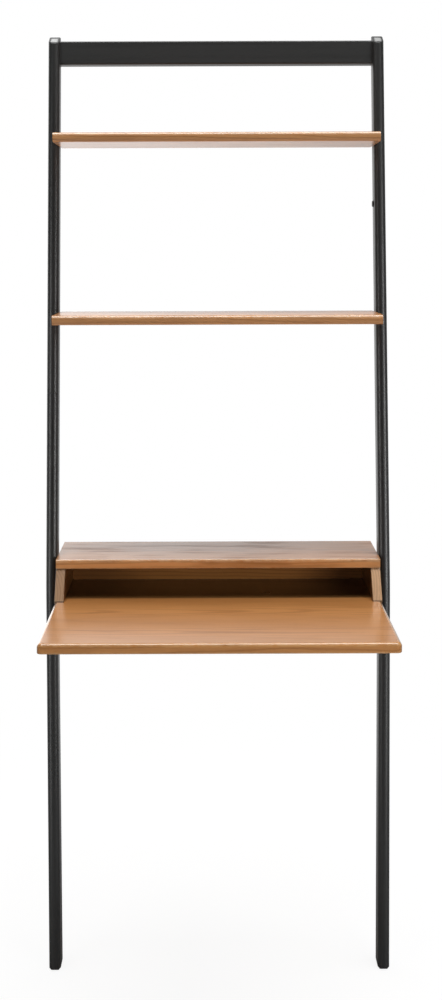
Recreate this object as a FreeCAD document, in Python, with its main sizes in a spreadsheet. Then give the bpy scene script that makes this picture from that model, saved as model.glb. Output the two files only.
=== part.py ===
"""Ladder desk: two bent, bullnosed rails that lean on a wall and carry two narrow shelves,
a deep work surface and a low open cubby standing on it.

Millimetres. +X is the user's right, +Y points at the wall and +Z is up. The origin is on
the floor, in the middle of the width and half-way between the desk's front edge and the wall.
"""
import FreeCAD, Part

import math
import os

import Sketcher

SIDES = {"left": -1, "right": 1}
ENDS = (-1, 1)
TOUCH = 0.01  # two places closer than this are the same
SHORT = 1  # edges shorter than this are left alone
NOSE_SHARE = 0.49  # the most of a rail's thickness that its nose's radius may take
X_AXIS = FreeCAD.Vector(1, 0, 0)
Y_AXIS = FreeCAD.Vector(0, 1, 0)
Z_AXIS = FreeCAD.Vector(0, 0, 1)

# ---------------------------------------------------------------- driving dimensions

SIZES = {
    # whole desk
    "overall_width": 661,
    "overall_height": 1817,
    "overall_depth": 570,
    # rails
    "rail_thickness": 22.5,
    "rail_depth": 38,
    "foot_depth": 50,
    "nose_radius": 11,
    "back_arris": 3,
    "end_arris": 0.8,
    "crown_arris": 2.5,
    "bend_rise": 14,
    "bend_radius": 260,
    "leg_lean": 1.5,
    "upper_lean": 8.75,
    "seam_drop": 154,
    "top_fall": 16,
    "wall_flat": 8,
    # boards
    "board_thickness": 18,
    "board_arris": 7,
    "desk_under_arris": 2,
    "lid_arris": 3,
    "rear_arris": 1,
    "desk_height": 735,
    "desk_corner": 9,
    "hutch_depth": 185,
    "hutch_clear": 55,
    "cheek_rake": 43,
    "cheek_arris": 1.5,
    "housing_depth": 2,
    "wall_gap": 35,
    "shelf_depth": 196,
    "shelf_reach": 64,
    "shelf_top_drop": 202,
    "shelf_spacing": 342,
    "crossbar_height": 47,
    "crossbar_drop": 9,
    "crossbar_arris": 3,
    "crossbar_inset": 12,
    # connector screws: flat-headed, driven through the rails into the boards' ends
    "connector_radius": 3,
    "connector_length": 50,
    "connector_head_radius": 5.5,
    "connector_head_height": 3.5,
    "connector_socket": 4,
    "connector_socket_depth": 2.2,
    "connector_play": 0.3,
    "connector_inset": 16.5,
    "connector_pitch": 13,
    "crossbar_pitch": 24,
    "cheek_connector_length": 30,
    "cheek_connector_setback": 2,
    # dowels
    "dowel_radius": 4,
    "dowel_length": 50,
    "dowel_play": 0.1,
    "dowel_pitch": 14,
    "dowel_setback": 1,
    "board_dowel_length": 24,
    "board_dowel_radius": 3,
    # hex-headed screws
    "screw_radius": 2,
    "screw_head_width": 7,
    "screw_head_height": 2.8,
    "screw_length": 14,
    "cubby_screw_length": 42,
    "screw_play": 0.15,
    # steel plates and brackets
    "plate_thickness": 2.5,
    "desk_bracket_height": 64,
    "desk_bracket_reach": 150,
    "desk_bracket_flange": 26,
    "desk_bracket_heel": 33,
    "desk_bracket_tip": 12,
    "bracket_side_screw": 25,
    "bracket_side_pitch": 26,
    "bracket_up_screw": 60,
    "bracket_up_pitch": 70,
    "bracket_up_inset": 15.5,
    "wall_bracket_screw": 12,
    "wall_bracket_pitch": 25,
    "cheek_screw_margin": 60,
    "back_screw_place": 120,
    "cheek_dowel_margin": 40,
    "back_dowel_place": 200,
    "wall_bracket_width": 40,
    "wall_bracket_drop": 46,
    "wall_bracket_hold": 50,
    "wall_bracket_bend": 2.25,
    "wall_bracket_place": 200,
    "wall_hole_radius": 2.75,
    "wall_hole_margin": 12,
    "wall_hole_pitch": 20,
    # pads and stud
    "glide_thickness": 3,
    "glide_margin": 3,
    "bumper_thickness": 3,
    "bumper_width": 14,
    "bumper_height": 34,
    "pad_corner": 3,
    "hole_relief": 1,
    "stud_drop": 132,
    "stud_radius": 6.5,
    "stud_proud": 3,
    "stud_bevel": 1.5,
    "stud_pin_radius": 1.75,
    "stud_pin_length": 12,
}

# ------------------------------------------------- places worked out from the sizes

SHELF_UPPER_HEIGHT = "(Sizes.overall_height - Sizes.shelf_top_drop)"
SHELF_LOWER_HEIGHT = f"({SHELF_UPPER_HEIGHT} - Sizes.shelf_spacing)"
SEAM_HEIGHT = f"({SHELF_LOWER_HEIGHT} - Sizes.seam_drop)"
STUD_HEIGHT = f"({SHELF_UPPER_HEIGHT} - Sizes.stud_drop)"
BEND_HEIGHT = "(Sizes.desk_height + Sizes.bend_rise)"
HALF_WIDTH = "Sizes.overall_width / 2"
INNER_HALF = "(Sizes.overall_width / 2 - Sizes.rail_thickness)"
RAIL_CENTRE = "(Sizes.overall_width - Sizes.rail_thickness) / 2"
TAN_UPPER = "tan(Sizes.upper_lean * 1 deg)"
COS_UPPER = "cos(Sizes.upper_lean * 1 deg)"
SIN_UPPER = "sin(Sizes.upper_lean * 1 deg)"
TAN_LEG = "tan(Sizes.leg_lean * 1 deg)"
WALL_FACE = "(Sizes.overall_depth / 2 - Sizes.bumper_thickness)"
TOP_BACK = f"({WALL_FACE} + Sizes.wall_flat)"
TOP_NOSE = f"({TOP_BACK} - Sizes.rail_depth / {COS_UPPER})"


def nose(height):
    """Front line of the upper rail at a height, which the leg follows down to its bend."""
    return f"({TOP_NOSE} - (Sizes.overall_height - ({height})) * {TAN_UPPER})"


BEND_NOSE = nose(BEND_HEIGHT)
FOOT_NOSE = f"({BEND_NOSE} - ({BEND_HEIGHT} - Sizes.glide_thickness) * {TAN_LEG})"
DESK_FRONT = "(-Sizes.overall_depth / 2)"
DESK_BACK = "(Sizes.overall_depth / 2 - Sizes.wall_gap)"
DESK_UNDERSIDE = "(Sizes.desk_height - Sizes.board_thickness)"
HUTCH_UNDERSIDE = "(Sizes.desk_height + Sizes.hutch_clear)"
HUTCH_TOP = f"({HUTCH_UNDERSIDE} + Sizes.board_thickness)"
HUTCH_FRONT = f"({DESK_BACK} - Sizes.hutch_depth)"
CHEEK_HALF = f"({INNER_HALF} - Sizes.board_thickness)"
CHEEK_TOE = f"({HUTCH_FRONT} + Sizes.lid_arris - Sizes.cheek_rake)"
HOUSING_FLOOR = "(Sizes.desk_height - Sizes.housing_depth)"
CROSSBAR_CENTRE_Z = "(Sizes.overall_height - Sizes.crossbar_drop - Sizes.crossbar_height / 2)"
CROSSBAR_DEPTH = "(Sizes.crossbar_inset + Sizes.board_thickness / 2)"
BOARD_HEIGHTS = {
    "shelf_upper": SHELF_UPPER_HEIGHT,
    "shelf_lower": SHELF_LOWER_HEIGHT,
    "desktop": "Sizes.desk_height",
}

doc = FreeCAD.newDocument("LadderDesk")
sheet = doc.addObject("Spreadsheet::Sheet", "Sizes")
for row, (alias, value) in enumerate(SIZES.items(), start=1):
    sheet.set(f"A{row}", alias)
    sheet.set(f"B{row}", str(value))
    sheet.setAlias(f"B{row}", alias)
doc.recompute()

pieces = []


# ---------------------------------------------------------------- modelling helpers

def new_body(label, is_piece=True):
    body = doc.addObject("PartDesign::Body", label)
    body.Label = label
    if is_piece:
        pieces.append(body)
    return body


def origin_plane(body, role):
    return next(item for item in body.Origin.OriginFeatures if item.Role == role)


def sketch_on(body, name, role, offset="0"):
    """An empty sketch on one of the body's origin planes, moved along its normal."""
    sketch = body.newObject("Sketcher::SketchObject", name)
    sketch.AttachmentSupport = [(origin_plane(body, role), "")]
    sketch.MapMode = "FlatFace"
    sketch.setExpression("AttachmentOffset.Base.z", offset)
    return sketch


def bind_point(sketch, geometry, position, across, up):
    """Ties one sketch point to its two distances from the sketch's origin."""
    for kind, distance in (("DistanceX", across), ("DistanceY", up)):
        index = sketch.addConstraint(Sketcher.Constraint(kind, -1, 1, geometry, position, 1.0))
        sketch.setExpression(f"Constraints[{index}]", distance)


def polygon(body, name, role, corners, offset="0"):
    """A closed outline through corners, each bound to the sheet by two expressions."""
    sketch = sketch_on(body, name, role, offset)
    count = len(corners)
    ring = [FreeCAD.Vector(math.cos(2 * math.pi * i / count), math.sin(2 * math.pi * i / count), 0)
            for i in range(count)]
    for i in range(count):
        sketch.addGeometry(Part.LineSegment(ring[i], ring[(i + 1) % count]))
    for i in range(count):
        sketch.addConstraint(Sketcher.Constraint("Coincident", i, 2, (i + 1) % count, 1))
    for i, (across, up) in enumerate(corners):
        bind_point(sketch, i, 1, across, up)
    return sketch


def rectangle(low_across, high_across, low_up, high_up):
    return [(low_across, low_up), (high_across, low_up), (high_across, high_up), (low_across, high_up)]


def pad(body, sketch, length, midplane=False):
    feature = body.newObject("PartDesign::Pad", sketch.Name + "_pad")
    feature.Profile = sketch
    feature.Midplane = midplane
    feature.setExpression("Length", length)
    sketch.Visibility = False
    doc.recompute()
    return feature


def edges_where(feature, test):
    """Names of a feature's edges whose box passes a test."""
    return [f"Edge{i}" for i, edge in enumerate(feature.Shape.Edges, start=1) if test(edge.BoundBox)]


def round_edges(body, name, radius, test):
    """Rounds the edges that pass a test on the body's newest feature."""
    base = body.Tip
    feature = body.newObject("PartDesign::Fillet", name)
    feature.Base = (base, edges_where(base, test))
    feature.setExpression("Radius", radius)
    doc.recompute()
    return feature


def place_tool(tool, body, role, start, turn):
    """Sets a cutting tool's start on an origin plane, turned about the plane's first axis."""
    tool.AttachmentSupport = [(origin_plane(body, role), "")]
    tool.MapMode = "FlatFace"
    if turn:
        tool.AttachmentOffset = FreeCAD.Placement(FreeCAD.Vector(), FreeCAD.Rotation(X_AXIS, 1))
        tool.setExpression("AttachmentOffset.Rotation.Angle", f"({turn}) * 1 deg")
    for axis, place in zip("xyz", start):
        tool.setExpression(f"AttachmentOffset.Base.{axis}", place)


def bore(body, name, role, radius, depth, start, turn=None):
    """A round hole along a plane's normal from start: across, up and along that normal."""
    hole = body.newObject("PartDesign::SubtractiveCylinder", name)
    place_tool(hole, body, role, start, turn)
    hole.setExpression("Radius", radius)
    hole.setExpression("Height", depth)
    doc.recompute()
    return hole


def bore_along_x(body, name, radius, depth, x, y, z):
    return bore(body, name, "YZ_Plane", radius, depth, (y, z, x))


def bore_along_z(body, name, radius, depth, x, y, z):
    return bore(body, name, "XY_Plane", radius, depth, (x, y, z))


def screw_hole(body, name, depth, x, y, z):
    return bore_along_z(body, name, "Sizes.screw_radius + Sizes.screw_play", depth, x, y, z)


def copies(label, master, places):
    """One node of equal pieces: a compound of links to one master, each set at its place.

    A place is (x, y, z, axis, angle): three expressions, and the turn about a named axis,
    whose angle is an expression in degrees.
    """
    links = []
    for index, (x, y, z, axis, angle) in enumerate(places, start=1):
        link = doc.addObject("App::Link", f"{label}_{index}")
        link.LinkedObject = master
        link.Placement = FreeCAD.Placement(FreeCAD.Vector(), FreeCAD.Rotation(axis, 1))
        link.setExpression("Placement.Rotation.Angle", f"({angle}) * 1 deg")
        for name, place in zip("xyz", (x, y, z)):
            link.setExpression(f"Placement.Base.{name}", place)
        links.append(link)
    group = doc.addObject("Part::Compound", label)
    group.Label = label
    group.Links = links
    doc.recompute()
    pieces.append(group)
    return group


# ---------------------------------------------------------------- fastener masters

def turned(label, outline, is_piece=False):
    """A body revolved about Z from an outline of (radius, height) corners."""
    body = new_body(label, is_piece)
    sketch = polygon(body, label + "_outline", "XZ_Plane", outline)
    feature = body.newObject("PartDesign::Revolution", label + "_turning")
    feature.Profile = sketch
    feature.ReferenceAxis = (sketch, ["V_Axis"])
    feature.Angle = 360
    doc.recompute()
    return body


def hexagon(width):
    """Six corners of a hexagon about the origin, from its width across the flats."""
    reach = f"{width} / 2 / cos(30 deg)"
    turns = [f"{60 * i} deg" for i in range(6)]
    return [(f"{reach} * cos({turn})", f"{reach} * sin({turn})") for turn in turns]


def connector_master(label, length):
    """Connector screw with a hexagon socket: head top at the origin, shank down the -Z side."""
    body = turned(label, [
        ("0", "0"),
        ("Sizes.connector_head_radius", "0"),
        ("Sizes.connector_head_radius", "-Sizes.connector_head_height"),
        ("Sizes.connector_radius", "-Sizes.connector_head_height"),
        ("Sizes.connector_radius", f"-Sizes.connector_head_height - {length}"),
        ("0", f"-Sizes.connector_head_height - {length}"),
    ])
    socket = polygon(body, label + "_socket", "XY_Plane", hexagon("Sizes.connector_socket"))
    cut = body.newObject("PartDesign::Pocket", label + "_socket_cut")
    cut.Profile = socket
    cut.setExpression("Length", "Sizes.connector_socket_depth")
    doc.recompute()
    return body


def hex_screw_master(label, length):
    """Hexagon-headed screw: the head stands above the origin, the shank runs down the -Z side."""
    body = turned(label, rectangle("0", "Sizes.screw_radius", f"-{length}", "0"))
    head = polygon(body, label + "_head", "XY_Plane", hexagon("Sizes.screw_head_width"))
    pad(body, head, "Sizes.screw_head_height")
    return body


def pin_master(label, radius, length):
    """Round pin centred on the origin along Z."""
    return turned(label, rectangle("0", radius, f"-{length} / 2", f"{length} / 2"))


connector = connector_master("connector", "Sizes.connector_length")
cheek_connector = connector_master("cheek_connector", "Sizes.cheek_connector_length")
bracket_screw = hex_screw_master("bracket_screw", "Sizes.screw_length")
cubby_screw = hex_screw_master("cubby_screw", "Sizes.cubby_screw_length")
rail_dowel = pin_master("rail_dowel", "Sizes.dowel_radius", "Sizes.dowel_length")
board_dowel = pin_master("board_dowel", "Sizes.board_dowel_radius", "Sizes.board_dowel_length")


# ---------------------------------------------------------------- where the connectors sit

def connector_rows():
    """Centres (y, z) of the connector screws through one rail, by the board they hold."""
    rows = {}
    for board, height in BOARD_HEIGHTS.items():
        middle = f"({height} - Sizes.board_thickness / 2)"
        first = f"({rail_front(board, middle)} + Sizes.connector_inset)"
        rows[board] = [(f"({first} + {step} * Sizes.connector_pitch)", middle) for step in range(2)]
    rows["top_crossbar"] = []
    for end in ENDS:
        along = f"({end} * Sizes.crossbar_pitch / 2)"
        rows["top_crossbar"].append(crossbar_point("0", along))
    return rows


def rail_front(board, height):
    """Front line of whichever rail piece carries a board."""
    if board == "desktop":
        return f"({BEND_NOSE} - ({BEND_HEIGHT} - ({height})) * {TAN_LEG})"
    return nose(height)


def crossbar_point(back, up):
    """A point of the crossbar, back and up from its middle along its own leaning axes."""
    y = f"({nose(CROSSBAR_CENTRE_Z)} + ({CROSSBAR_DEPTH} + {back}) * {COS_UPPER} + {up} * {SIN_UPPER})"
    z = f"({CROSSBAR_CENTRE_Z} - ({CROSSBAR_DEPTH} + {back}) * {SIN_UPPER} + {up} * {COS_UPPER})"
    return y, z


CONNECTOR_ROWS = connector_rows()
SHANK_HOLE = "(Sizes.connector_radius + Sizes.connector_play)"
SCREW_BITE = "(Sizes.screw_length - Sizes.plate_thickness + Sizes.hole_relief)"
CONNECTOR_BITE = ("(Sizes.connector_length + Sizes.connector_head_height + Sizes.hole_relief"
                  " - Sizes.rail_thickness)")
CHEEK_BITE = ("(Sizes.cheek_connector_length + Sizes.connector_head_height + Sizes.hole_relief"
              " - Sizes.rail_thickness)")
STUD_Y = f"({nose(STUD_HEIGHT)} + Sizes.rail_depth / 2)"
BRACKET_BACK = f"({BEND_NOSE} + Sizes.rail_depth - Sizes.back_arris)"
BRACKET_SCREW_Y = f"({BRACKET_BACK} - Sizes.desk_bracket_heel / 2)"
BRACKET_SCREW_ROWS = [f"({DESK_UNDERSIDE} - Sizes.bracket_side_screw - {step} * Sizes.bracket_side_pitch)"
                      for step in range(2)]
CHEEK_CONNECTOR_Z = "(Sizes.desk_height + Sizes.hutch_clear / 2)"
CHEEK_CONNECTOR_Y = (f"({nose(CHEEK_CONNECTOR_Z)} + Sizes.rail_depth / 2"
                     " + Sizes.cheek_connector_setback)")


def connector_holes(body, side, rows):
    """Clearance holes through a rail, each with a counterbore for the screw's head outside."""
    outer = f"{side} * ({HALF_WIDTH})"
    shank_start = outer if side < 0 else INNER_HALF
    head_start = outer if side < 0 else f"{outer} - Sizes.connector_head_height"
    for index, (y, z) in enumerate(rows, start=1):
        bore_along_x(body, f"{body.Name}_hole_{index}", SHANK_HOLE, "Sizes.rail_thickness",
                     shank_start, y, z)
        bore_along_x(body, f"{body.Name}_counterbore_{index}",
                     "Sizes.connector_head_radius + Sizes.connector_play",
                     "Sizes.connector_head_height", head_start, y, z)


# ---------------------------------------------------------------- rails

def seam_point(back, up):
    """A point near the seam, back and up from its nose along the upper rail's leaning axes."""
    y = f"({nose(SEAM_HEIGHT)} + ({back}) * {COS_UPPER} + ({up}) * {SIN_UPPER})"
    z = f"({SEAM_HEIGHT} - ({back}) * {SIN_UPPER} + ({up}) * {COS_UPPER})"
    return y, z


def dowel_depths():
    """Places of the seam's two dowels behind the nose."""
    return [f"(Sizes.rail_depth / 2 + Sizes.dowel_setback + {end} * Sizes.dowel_pitch / 2)"
            for end in ENDS]


def size(alias):
    return sheet.get(alias)


def is_upright(box):
    """A long edge of a rail's side face, leaning at most as far as the rails do."""
    return box.XLength < TOUCH and box.ZLength > box.YLength * 2


def front_edge_test(feature):
    """Edges of the two side faces that lie on the feature's front, not its back or ends."""
    def test(box):
        if not is_upright(box):
            return False
        section = feature.Shape.slice(Z_AXIS, box.Center.z)
        front = min(wire.BoundBox.YMin for wire in section)
        back = max(wire.BoundBox.YMax for wire in section)
        return box.Center.y < (front + back) / 2
    return test


def round_rail(body, ends):
    """Bullnose front, eased back arrises and eased cut ends of a rail piece.

    ends holds an (arris, test) pair for each cut end.
    """
    base = body.Tip
    front = edges_where(base, front_edge_test(base))
    nose_round = body.newObject("PartDesign::Fillet", body.Name + "_bullnose")
    nose_round.Base = (base, front)
    nose_round.setExpression("Radius", f"min(Sizes.nose_radius; Sizes.rail_thickness * {NOSE_SHARE})")
    doc.recompute()
    front_test = front_edge_test(body.Tip)
    whole = body.Shape.BoundBox
    thickness = size("rail_thickness")

    def back_test(box):
        at_side = abs(box.Center.x - whole.Center.x) > thickness / 2 - TOUCH
        return is_upright(box) and box.ZLength > thickness / 2 and at_side and not front_test(box)

    round_edges(body, body.Name + "_back_arris", "Sizes.back_arris", back_test)
    for index, (arris, is_end) in enumerate(ends, start=1):
        round_edges(body, f"{body.Name}_end_{index}", arris, is_end)


def leg(name, side):
    """Lower rail piece: it stands nearly upright to its bend, then leans back to the seam."""
    body = new_body(f"leg_{name}")
    outline = [
        (FOOT_NOSE, "Sizes.glide_thickness"),
        (f"{FOOT_NOSE} + Sizes.foot_depth", "Sizes.glide_thickness"),
        (f"{BEND_NOSE} + Sizes.rail_depth", f"{BEND_HEIGHT} - Sizes.rail_depth * {SIN_UPPER} / 2"),
        seam_point("Sizes.rail_depth", "0"),
        seam_point("0", "0"),
        (BEND_NOSE, BEND_HEIGHT),
    ]
    sketch = polygon(body, body.Name + "_outline", "YZ_Plane", outline, f"{side} * {RAIL_CENTRE}")
    pad(body, sketch, "Sizes.rail_thickness", midplane=True)
    whole = body.Shape.BoundBox
    depth = size("rail_depth")
    bend = size("desk_height") + size("bend_rise")

    def at_bend(box):
        return box.XLength > SHORT and box.ZLength < TOUCH and abs(box.ZMin - bend) < depth

    def at_foot(box):
        return box.ZMax < whole.ZMin + TOUCH

    def at_seam(box):
        return box.ZMin > whole.ZMax - depth and box.ZLength < depth / 2

    round_edges(body, body.Name + "_bend", "Sizes.bend_radius", at_bend)

    round_rail(body, [("Sizes.end_arris", at_foot), ("Sizes.end_arris", at_seam)])
    for index, depth in enumerate(dowel_depths(), start=1):
        y, z = seam_point(depth, "-Sizes.dowel_length / 2 - Sizes.hole_relief")
        bore(body, f"{body.Name}_dowel_hole_{index}", "XY_Plane", "Sizes.dowel_radius + Sizes.dowel_play",
             "Sizes.dowel_length", (f"{side} * {RAIL_CENTRE}", y, z), turn="-Sizes.upper_lean")
    for index, height in enumerate(BRACKET_SCREW_ROWS, start=1):
        start = f"-{INNER_HALF} - {SCREW_BITE}" if side < 0 else INNER_HALF
        bore_along_x(body, f"{body.Name}_bracket_pilot_{index}", "Sizes.screw_radius + Sizes.screw_play",
                     SCREW_BITE, start, BRACKET_SCREW_Y, height)
    connector_holes(body, side, CONNECTOR_ROWS["desktop"] + [(CHEEK_CONNECTOR_Y, CHEEK_CONNECTOR_Z)])
    return body


def upper_rail(name, side):
    """Upper rail piece: straight, its top cut falling to the front, its back cut flat to the wall."""
    body = new_body(f"upper_rail_{name}")
    front_top = "(Sizes.overall_height - Sizes.top_fall)"
    outline = [
        seam_point("0", "0"),
        seam_point("Sizes.rail_depth", "0"),
        (WALL_FACE, f"Sizes.overall_height - Sizes.wall_flat / {TAN_UPPER}"),
        (WALL_FACE, "Sizes.overall_height"),
        (nose(front_top), front_top),
    ]
    sketch = polygon(body, body.Name + "_outline", "YZ_Plane", outline, f"{side} * {RAIL_CENTRE}")
    pad(body, sketch, "Sizes.rail_thickness", midplane=True)
    whole = body.Shape.BoundBox
    depth = size("rail_depth")

    def at_seam(box):
        return box.ZMax < whole.ZMin + depth / 2 and box.ZLength < depth / 2

    def at_top(box):
        return box.ZMin > whole.ZMax - size("top_fall") - SHORT

    round_rail(body, [("Sizes.end_arris", at_seam), ("Sizes.crown_arris", at_top)])
    for index, depth in enumerate(dowel_depths(), start=1):
        y, z = seam_point(depth, "-Sizes.dowel_length / 2 + Sizes.hole_relief")
        bore(body, f"{body.Name}_dowel_hole_{index}", "XY_Plane", "Sizes.dowel_radius + Sizes.dowel_play",
             "Sizes.dowel_length", (f"{side} * {RAIL_CENTRE}", y, z), turn="-Sizes.upper_lean")
    rows = CONNECTOR_ROWS["shelf_upper"] + CONNECTOR_ROWS["shelf_lower"] + CONNECTOR_ROWS["top_crossbar"]
    connector_holes(body, side, rows)
    if side > 0:
        bore_along_x(body, body.Name + "_stud_hole", "Sizes.stud_pin_radius + Sizes.screw_play",
                     "Sizes.stud_pin_length + Sizes.hole_relief", INNER_HALF, STUD_Y, STUD_HEIGHT)
    return body


for side_name, side_sign in SIDES.items():
    leg(side_name, side_sign)
    upper_rail(side_name, side_sign)


# ---------------------------------------------------------------- boards

def soften_board(body, front_arris="Sizes.board_arris"):
    """Rounds a board's two front edges well and its two rear edges a little."""
    half = body.Shape.BoundBox.Center.y

    def long_edge(edge):
        return edge.XLength > SHORT and edge.YLength < TOUCH and edge.ZLength < TOUCH

    round_edges(body, body.Name + "_front_arris", front_arris,
                lambda edge: long_edge(edge) and edge.YMax < half)
    round_edges(body, body.Name + "_rear_arris", "Sizes.rear_arris",
                lambda edge: long_edge(edge) and edge.YMin > half)


def end_holes(body, rows):
    """Holes in a board's two ends for the connector screws that come through the rails."""
    for side in ENDS:
        for index, (y, z) in enumerate(rows, start=1):
            start = f"-{INNER_HALF}" if side < 0 else f"{INNER_HALF} - {CONNECTOR_BITE}"
            name = f"{body.Name}_{'left' if side < 0 else 'right'}_{index}"
            bore_along_x(body, name, SHANK_HOLE, CONNECTOR_BITE, start, y, z)


def board(label, front, back, top):
    """A flat board from rail to rail, between two planes across the desk."""
    body = new_body(label)
    outline = rectangle(front, back, f"{top} - Sizes.board_thickness", top)
    sketch = polygon(body, label + "_outline", "YZ_Plane", outline)
    pad(body, sketch, f"2 * {INNER_HALF}", midplane=True)
    return body


def shelf(label):
    """A narrow shelf that hangs behind its rails' noses by the reach and projects forward."""
    height = BOARD_HEIGHTS[label]
    back = f"({nose(height)} + Sizes.shelf_reach)"
    body = board(label, f"({back} - Sizes.shelf_depth)", back, height)
    soften_board(body)
    end_holes(body, CONNECTOR_ROWS[label])
    return body


def up_screw_places():
    """Plan places (x, y) of the screws that come up through the desktop into the cubby."""
    places = []
    for side in ENDS:
        places.append((f"{side} * ({INNER_HALF} - Sizes.board_thickness / 2)",
                       f"({DESK_BACK} - Sizes.cheek_screw_margin)"))
        places.append((f"{side} * Sizes.back_screw_place", f"({DESK_BACK} - Sizes.board_thickness / 2)"))
    return places


def board_dowel_places():
    """Plan places (x, y) of the dowels between the cubby's walls and its top."""
    places = []
    for side in ENDS:
        for y in (f"({HUTCH_FRONT} + Sizes.cheek_dowel_margin)", f"({DESK_BACK} - Sizes.cheek_dowel_margin)"):
            places.append((f"{side} * ({INNER_HALF} - Sizes.board_thickness / 2)", y))
        places.append((f"{side} * Sizes.back_dowel_place", f"({DESK_BACK} - Sizes.board_thickness / 2)"))
    return places


def bracket_up_places():
    """Plan places (x, y) of the short screws from the desk brackets up into the desktop."""
    places = []
    for side in ENDS:
        x = f"{side} * ({INNER_HALF} - Sizes.bracket_up_inset)"
        for step in range(2):
            y = f"({BRACKET_BACK} - Sizes.bracket_up_screw - {step} * Sizes.bracket_up_pitch)"
            places.append((x, y))
    return places


def wall_bracket_up_places():
    """Plan places (x, y) of the short screws from the wall brackets up into the desktop."""
    places = []
    for side in ENDS:
        for step in range(2):
            y = f"({DESK_BACK} - Sizes.wall_bracket_screw - {step} * Sizes.wall_bracket_pitch)"
            places.append((f"{side} * Sizes.wall_bracket_place", y))
    return places


UP_SCREWS = up_screw_places()
BOARD_DOWELS = board_dowel_places()
BRACKET_UP = bracket_up_places()
WALL_BRACKET_UP = wall_bracket_up_places()
PLATE_UNDERSIDE = f"{DESK_UNDERSIDE} - Sizes.plate_thickness"
DOWEL_SINK = "(Sizes.board_dowel_length / 2 + Sizes.hole_relief)"


def cut_housing(body):
    """Shallow U-shaped housing in the desktop that the cubby's cheeks and back stand in."""
    back_panel = f"({DESK_BACK} - Sizes.board_thickness)"
    outline = [
        (f"-{INNER_HALF}", CHEEK_TOE),
        (f"-{CHEEK_HALF}", CHEEK_TOE),
        (f"-{CHEEK_HALF}", back_panel),
        (CHEEK_HALF, back_panel),
        (CHEEK_HALF, CHEEK_TOE),
        (INNER_HALF, CHEEK_TOE),
        (INNER_HALF, DESK_BACK),
        (f"-{INNER_HALF}", DESK_BACK),
    ]
    sketch = polygon(body, body.Name + "_housing", "XY_Plane", outline, "Sizes.desk_height")
    housing = body.newObject("PartDesign::Pocket", sketch.Name + "_cut")
    housing.Profile = sketch
    housing.setExpression("Length", "Sizes.housing_depth")
    doc.recompute()


def desktop():
    """Deep work surface: rounded front corners, softened edges, holes for all that it joins."""
    body = board("desktop", DESK_FRONT, DESK_BACK, "Sizes.desk_height")
    whole = body.Shape.BoundBox
    round_edges(body, "desktop_corner", "Sizes.desk_corner",
                lambda edge: edge.ZLength > SHORT and edge.YMax < whole.YMin + TOUCH)
    round_edges(body, "desktop_top_arris", "Sizes.board_arris",
                lambda edge: edge.ZMin > whole.ZMax - TOUCH and edge.YMax < whole.Center.y)
    round_edges(body, "desktop_under_arris", "Sizes.desk_under_arris",
                lambda edge: edge.ZMax < whole.ZMin + TOUCH and edge.YMax < whole.Center.y)
    cut_housing(body)
    end_holes(body, CONNECTOR_ROWS["desktop"])
    for index, (x, y) in enumerate(UP_SCREWS, start=1):
        screw_hole(body, f"desktop_cubby_screw_{index}", "Sizes.board_thickness", x, y, DESK_UNDERSIDE)
    for index, (x, y) in enumerate(BRACKET_UP + WALL_BRACKET_UP, start=1):
        screw_hole(body, f"desktop_pilot_{index}", SCREW_BITE, x, y, DESK_UNDERSIDE)
    return body


def hutch_top():
    """Lid of the low cubby, dowelled onto its cheeks and back."""
    body = board("hutch_top", HUTCH_FRONT, DESK_BACK, HUTCH_TOP)
    soften_board(body, "Sizes.lid_arris")
    for index, (x, y) in enumerate(BOARD_DOWELS, start=1):
        bore_along_z(body, f"hutch_top_dowel_{index}", "Sizes.board_dowel_radius + Sizes.dowel_play",
                     DOWEL_SINK, x, y, HUTCH_UNDERSIDE)
    return body


def cubby_holes(body, axis, middle):
    """Dowel holes down and screw holes up in a cubby wall, for the places on its middle line."""
    dowels = [place for place in BOARD_DOWELS if place[axis] == middle]
    screws = [place for place in UP_SCREWS if place[axis] == middle]
    for index, (x, y) in enumerate(dowels, start=1):
        bore_along_z(body, f"{body.Name}_dowel_{index}", "Sizes.board_dowel_radius + Sizes.dowel_play",
                     DOWEL_SINK, x, y, f"{HUTCH_UNDERSIDE} - {DOWEL_SINK}")
    for index, (x, y) in enumerate(screws, start=1):
        screw_hole(body, f"{body.Name}_screw_{index}",
                   f"{DESK_UNDERSIDE} + Sizes.cubby_screw_length + Sizes.hole_relief - {HOUSING_FLOOR}",
                   x, y, HOUSING_FLOOR)


def hutch_side(name, side):
    """Cubby cheek: its front edge rakes forward from the lid down to the work surface."""
    body = new_body(f"hutch_side_{name}")
    outline = [
        (CHEEK_TOE, HOUSING_FLOOR),
        (DESK_BACK, HOUSING_FLOOR),
        (DESK_BACK, HUTCH_UNDERSIDE),
        (f"{HUTCH_FRONT} + Sizes.lid_arris", HUTCH_UNDERSIDE),
        (CHEEK_TOE, "Sizes.desk_height"),
    ]
    middle = f"{side} * ({INNER_HALF} - Sizes.board_thickness / 2)"
    sketch = polygon(body, body.Name + "_outline", "YZ_Plane", outline, middle)
    pad(body, sketch, "Sizes.board_thickness", midplane=True)
    raked = body.Shape.BoundBox.YMin + size("cheek_rake")
    round_edges(body, body.Name + "_front_arris", "Sizes.cheek_arris",
                lambda edge: edge.XLength < TOUCH < edge.YLength and edge.ZLength > SHORT
                and edge.YMax < raked + TOUCH)
    cubby_holes(body, 0, middle)
    start = f"-{INNER_HALF}" if side < 0 else f"{INNER_HALF} - {CHEEK_BITE}"
    bore_along_x(body, body.Name + "_connector_hole", SHANK_HOLE, CHEEK_BITE, start,
                 CHEEK_CONNECTOR_Y, CHEEK_CONNECTOR_Z)
    return body


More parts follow.
